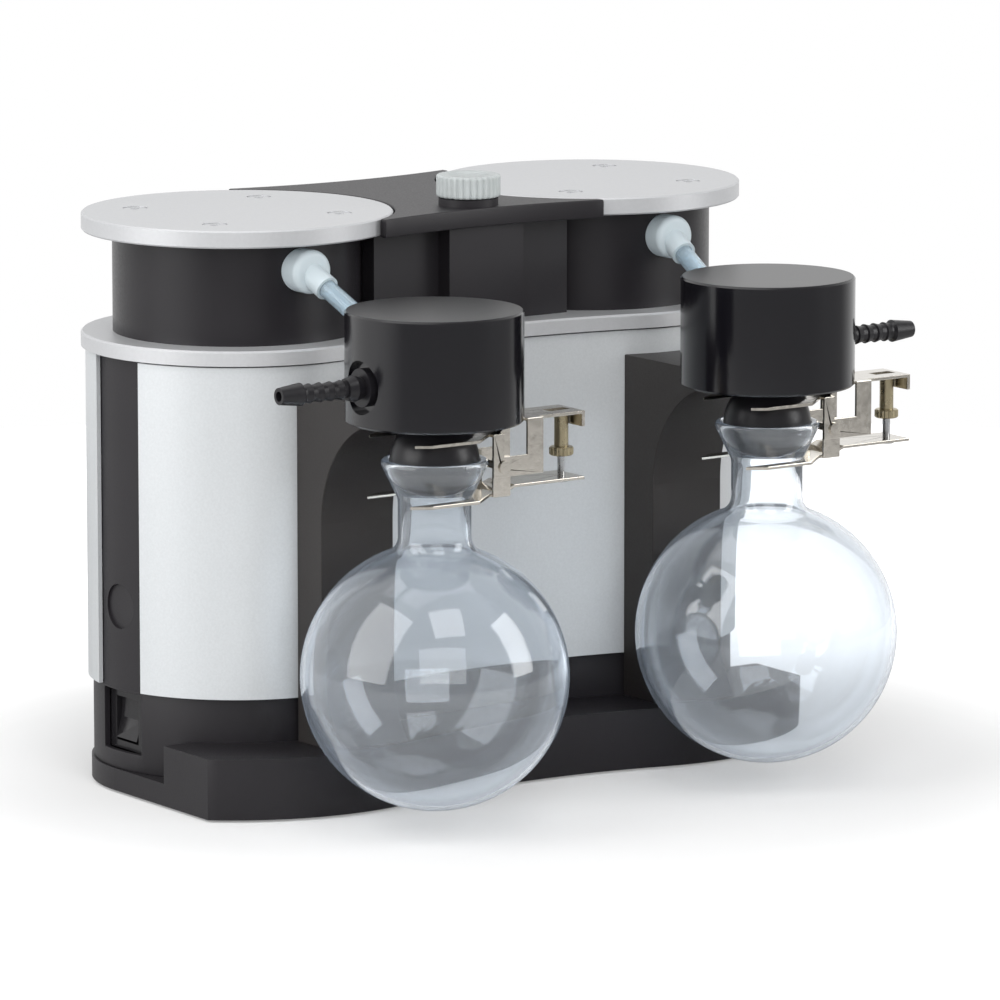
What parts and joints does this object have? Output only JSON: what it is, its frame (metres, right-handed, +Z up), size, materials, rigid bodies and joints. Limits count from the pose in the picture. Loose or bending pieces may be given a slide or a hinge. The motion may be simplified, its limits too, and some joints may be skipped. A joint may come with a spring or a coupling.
{
  "type": "diaphragm vacuum pump",
  "caption": "Bench diaphragm vacuum pump with paired heads, waisted silver casing, front tray and round glass separator flasks held under black heads by fork clamps",
  "frame": {"origin": "centre of the bounding box's bottom, on the surface the feet stand on", "axes": "+X to the right along the line of the pump heads, -Y towards the flasks at the front, +Z up"},
  "size_m": [0.3042, 0.2468, 0.2423],
  "materials": {
    "silver_panel": "satin silver",
    "silver_plate": "fine satin",
    "black_plastic": "fine texture",
    "tray_black": "fine texture",
    "head_black": "satin moulded",
    "bracket_black": "satin powder coat",
    "anodised_black": "turned and anodised",
    "barb_black": "satin",
    "knob_grey": "moulded",
    "milky_fluoropolymer": "translucent",
    "tube_clear": "translucent",
    "flask_glass": "clear",
    "clamp_nickel": "bright nickel plate",
    "nut_brass": "plated",
    "rubber_black": "matte",
    "switch_black": "moulded",
    "inlet_black": "moulded",
    "cast_aluminium": "as cast",
    "steel": "ground",
    "lamination_iron": "stacked sheet",
    "copper_winding": "enamelled wire",
    "screw_steel": "zinc plated",
    "capacitor_white": "moulded"
  },
  "bodies": {
    "root": {"ball_joints": "barb_black", "base_tray": "tray_black", "bridge_plate": "black_plastic", "casing": "black_plastic", "centre_block": "black_plastic", "collar_plate": "silver_plate", "elbow_fittings": "milky_fluoropolymer", "front_panel": "silver_panel", "head_cover_screws": "screw_steel", "left_bracket": "bracket_black", "left_crankcase": "cast_aluminium", "left_diaphragm": "rubber_black", "left_head_body": "head_black", "left_head_cover": "silver_plate", "left_hose_barb": "barb_black", "left_separator_head": "anodised_black", "left_tube": "tube_clear", "lower_housing": "black_plastic", "mains_inlet": "inlet_black", "motor_stator": "lamination_iron", "motor_windings": "copper_winding", "rear_panel": "silver_panel", "right_bracket": "bracket_black", "right_crankcase": "cast_aluminium", "right_diaphragm": "rubber_black", "right_head_body": "head_black", "right_head_cover": "silver_plate", "right_hose_barb": "barb_black", "right_separator_head": "anodised_black", "right_tube": "tube_clear", "rubber_feet": "rubber_black", "run_capacitor": "capacitor_white", "shaft_bearings": "steel", "switch_bezel": "switch_black", "valve_flaps": "rubber_black", "valve_plates": "cast_aluminium", "vent_valve_seat": "black_plastic"},
    "rotor": {"motor_shaft": "steel", "rotor_core": "lamination_iron", "eccentrics": "steel"},
    "vent_valve": {"vent_knob": "knob_grey"},
    "rocker": {"switch_rocker": "switch_black"},
    "left_rod": {"left_rod_bearing": "steel", "left_connecting_rod": "cast_aluminium", "left_pressure_disc": "cast_aluminium"},
    "left_flask_body": {"left_flask": "flask_glass"},
    "left_clamp": {"left_clamp_upper": "clamp_nickel", "left_clamp_pin": "clamp_nickel"},
    "left_jaw": {"left_clamp_lower": "clamp_nickel", "left_clamp_stud": "steel"},
    "left_nut": {"left_clamp_nut": "nut_brass"},
    "right_rod": {"right_rod_bearing": "steel", "right_connecting_rod": "cast_aluminium", "right_pressure_disc": "cast_aluminium"},
    "right_flask_body": {"right_flask": "flask_glass"},
    "right_clamp": {"right_clamp_upper": "clamp_nickel", "right_clamp_pin": "clamp_nickel"},
    "right_jaw": {"right_clamp_lower": "clamp_nickel", "right_clamp_stud": "steel"},
    "right_nut": {"right_clamp_nut": "nut_brass"}
  },
  "joints": [
    {"name": "motor_spin", "type": "hinge", "parent": "root", "child": "rotor", "pos_m": [0, 0.06062, 0.105], "axis": [1, 0, 0], "continuous": true},
    {"name": "vent_knob_turn", "type": "hinge", "parent": "root", "child": "vent_valve", "pos_m": [0, 0.02262, 0.236], "axis": [0, 0, 1], "range_deg": [0, 540]},
    {"name": "switch_rock", "type": "hinge", "parent": "root", "child": "rocker", "pos_m": [-0.13672, 0.05763, 0.0295], "axis": [0, -1, 0], "range_deg": [0, 20]},
    {"name": "left_rod_swing", "type": "hinge", "parent": "rotor", "child": "left_rod", "pos_m": [-0.0858, 0.06062, 0.108], "axis": [1, 0, 0], "continuous": true, "deforming": ["left_diaphragm"]},
    {"name": "left_flask_turn", "type": "hinge", "parent": "root", "child": "left_flask_body", "pos_m": [-0.0803, -0.07087, 0.1466], "axis": [0, 0, 1], "continuous": true},
    {"name": "left_clamp_swivel", "type": "hinge", "parent": "root", "child": "left_clamp", "pos_m": [-0.0803, -0.07087, 0.1466], "axis": [0, 0, 1], "range_deg": [-180, 30]},
    {"name": "left_jaw_open", "type": "hinge", "parent": "left_clamp", "child": "left_jaw", "pos_m": [-0.05565, -0.07087, 0.1431], "axis": [0, -1, 0], "range_deg": [0, 10]},
    {"name": "left_nut_travel", "type": "slide", "parent": "left_jaw", "child": "left_nut", "axis": [0, 0, -1], "range_m": [0, 0.007]},
    {"name": "right_rod_swing", "type": "hinge", "parent": "rotor", "child": "right_rod", "pos_m": [0.0858, 0.06062, 0.102], "axis": [1, 0, 0], "continuous": true, "deforming": ["right_diaphragm"]},
    {"name": "right_flask_turn", "type": "hinge", "parent": "root", "child": "right_flask_body", "pos_m": [0.0803, -0.07087, 0.1466], "axis": [0, 0, 1], "continuous": true},
    {"name": "right_clamp_swivel", "type": "hinge", "parent": "root", "child": "right_clamp", "pos_m": [0.0803, -0.07087, 0.1466], "axis": [0, 0, 1], "range_deg": [-180, 30]},
    {"name": "right_jaw_open", "type": "hinge", "parent": "right_clamp", "child": "right_jaw", "pos_m": [0.10495, -0.07087, 0.1431], "axis": [0, -1, 0], "range_deg": [0, 10]},
    {"name": "right_nut_travel", "type": "slide", "parent": "right_jaw", "child": "right_nut", "axis": [0, 0, -1], "range_m": [0, 0.007]}
  ],
  "couplings": [
    {"joint": "left_rod_swing", "follows": "motor_spin", "ratio": -1},
    {"joint": "left_nut_travel", "follows": "left_jaw_open", "m_per_rad": 0.0385},
    {"joint": "right_rod_swing", "follows": "motor_spin", "ratio": -1},
    {"joint": "right_nut_travel", "follows": "right_jaw_open", "m_per_rad": 0.0385}
  ]
}
